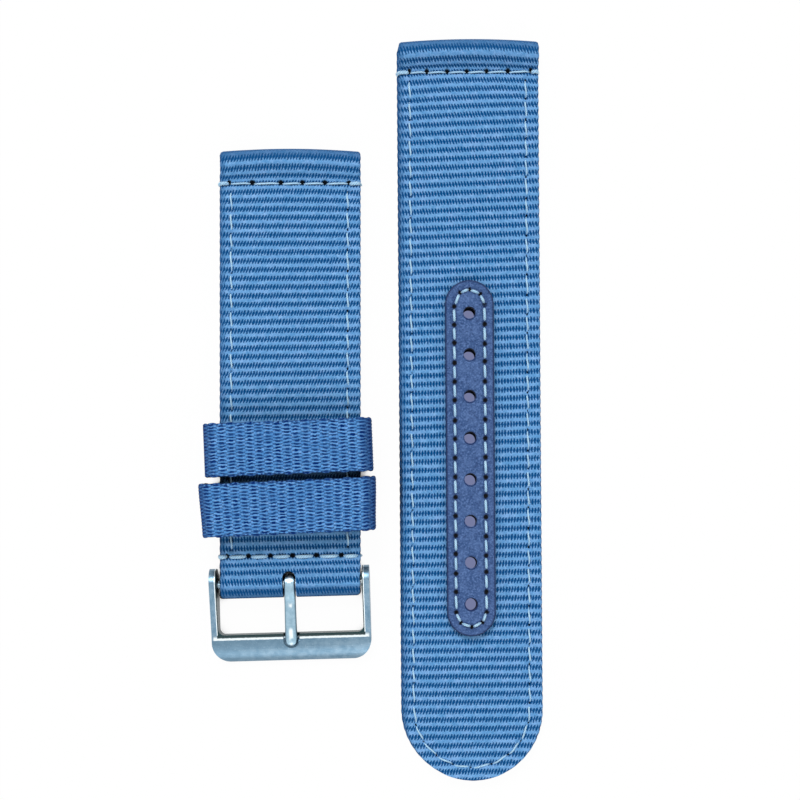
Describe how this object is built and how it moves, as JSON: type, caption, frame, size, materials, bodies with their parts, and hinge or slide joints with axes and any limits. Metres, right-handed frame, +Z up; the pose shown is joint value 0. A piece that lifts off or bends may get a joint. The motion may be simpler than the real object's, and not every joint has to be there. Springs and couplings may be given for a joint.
{
  "type": "canvas watch strap",
  "caption": "Two-piece ribbed canvas watch strap with folded bar loops, a leather-backed hole row, fixed and sliding keepers, and a pin buckle on a sprung bar.",
  "frame": {"origin": "middle of the pair's bounding box on the surface it lies on", "axes": "+X across the straps towards the long piece, +Y along the straps towards the watch ends, +Z up, out of the face of the straps"},
  "size_m": [0.0576, 0.1253, 0.0092],
  "materials": {
    "canvas": "ribbed nylon canvas, satin on the ribs and dark in the valleys",
    "keeper_webbing": "fine woven narrow webbing",
    "patch_leather": "fine-grained leather with a slightly raised rim",
    "pale_thread": "twisted polyester sewing thread",
    "steel": "polished stainless steel with a soft satin face"
  },
  "bodies": {
    "strap": {"long_webbing": "canvas", "long_edge_top_thread": "pale_thread", "long_edge_under_thread": "pale_thread", "long_lug_top_thread": "pale_thread", "long_lug_under_thread": "pale_thread", "hole_patch": "patch_leather", "patch_top_thread": "pale_thread", "patch_under_thread": "pale_thread", "short_webbing": "canvas", "short_lug_top_thread": "pale_thread", "short_lug_under_thread": "pale_thread", "short_left_top_thread": "pale_thread", "short_left_under_thread": "pale_thread", "short_right_top_thread": "pale_thread", "short_right_under_thread": "pale_thread", "buckle_end_top_thread": "pale_thread", "buckle_end_under_thread": "pale_thread", "fixed_keeper": "keeper_webbing", "fixed_keeper_thread": "pale_thread"},
    "sliding_keeper": {"free_keeper": "keeper_webbing", "free_keeper_thread": "pale_thread"},
    "frame": {"buckle_frame": "steel", "spring_bar_tube": "steel", "spring_bar_spring": "steel"},
    "tongue": {"buckle_tongue": "steel"},
    "bar_tip_left": {"spring_bar_tip_left": "steel"},
    "bar_tip_right": {"spring_bar_tip_right": "steel"}
  },
  "joints": [
    {"name": "buckle_hinge", "type": "hinge", "parent": "strap", "child": "frame", "pos_m": [-0.01391, -0.02925, 0.0024], "axis": [-0.9996, -0.0279, 0], "range_deg": [-60, 30]},
    {"name": "tongue_hinge", "type": "hinge", "parent": "frame", "child": "tongue", "pos_m": [-0.01391, -0.02925, 0.0024], "axis": [-0.9996, -0.0279, 0], "range_deg": [0, 80]},
    {"name": "keeper_slide", "type": "slide", "parent": "strap", "child": "sliding_keeper", "axis": [0, 1, 0], "range_m": [0, 0.038]},
    {"name": "bar_tip_left_press", "type": "slide", "parent": "frame", "child": "bar_tip_left", "axis": [0.9996, 0.0279, 0], "range_m": [0, 0.00085], "stiffness_N_per_m": 400, "springref_m": -0.0015, "deforming": ["spring_bar_spring"]},
    {"name": "bar_tip_right_press", "type": "slide", "parent": "frame", "child": "bar_tip_right", "axis": [-0.9996, -0.0279, 0], "range_m": [0, 0.00085], "stiffness_N_per_m": 400, "springref_m": -0.0015, "deforming": ["spring_bar_spring"]}
  ]
}
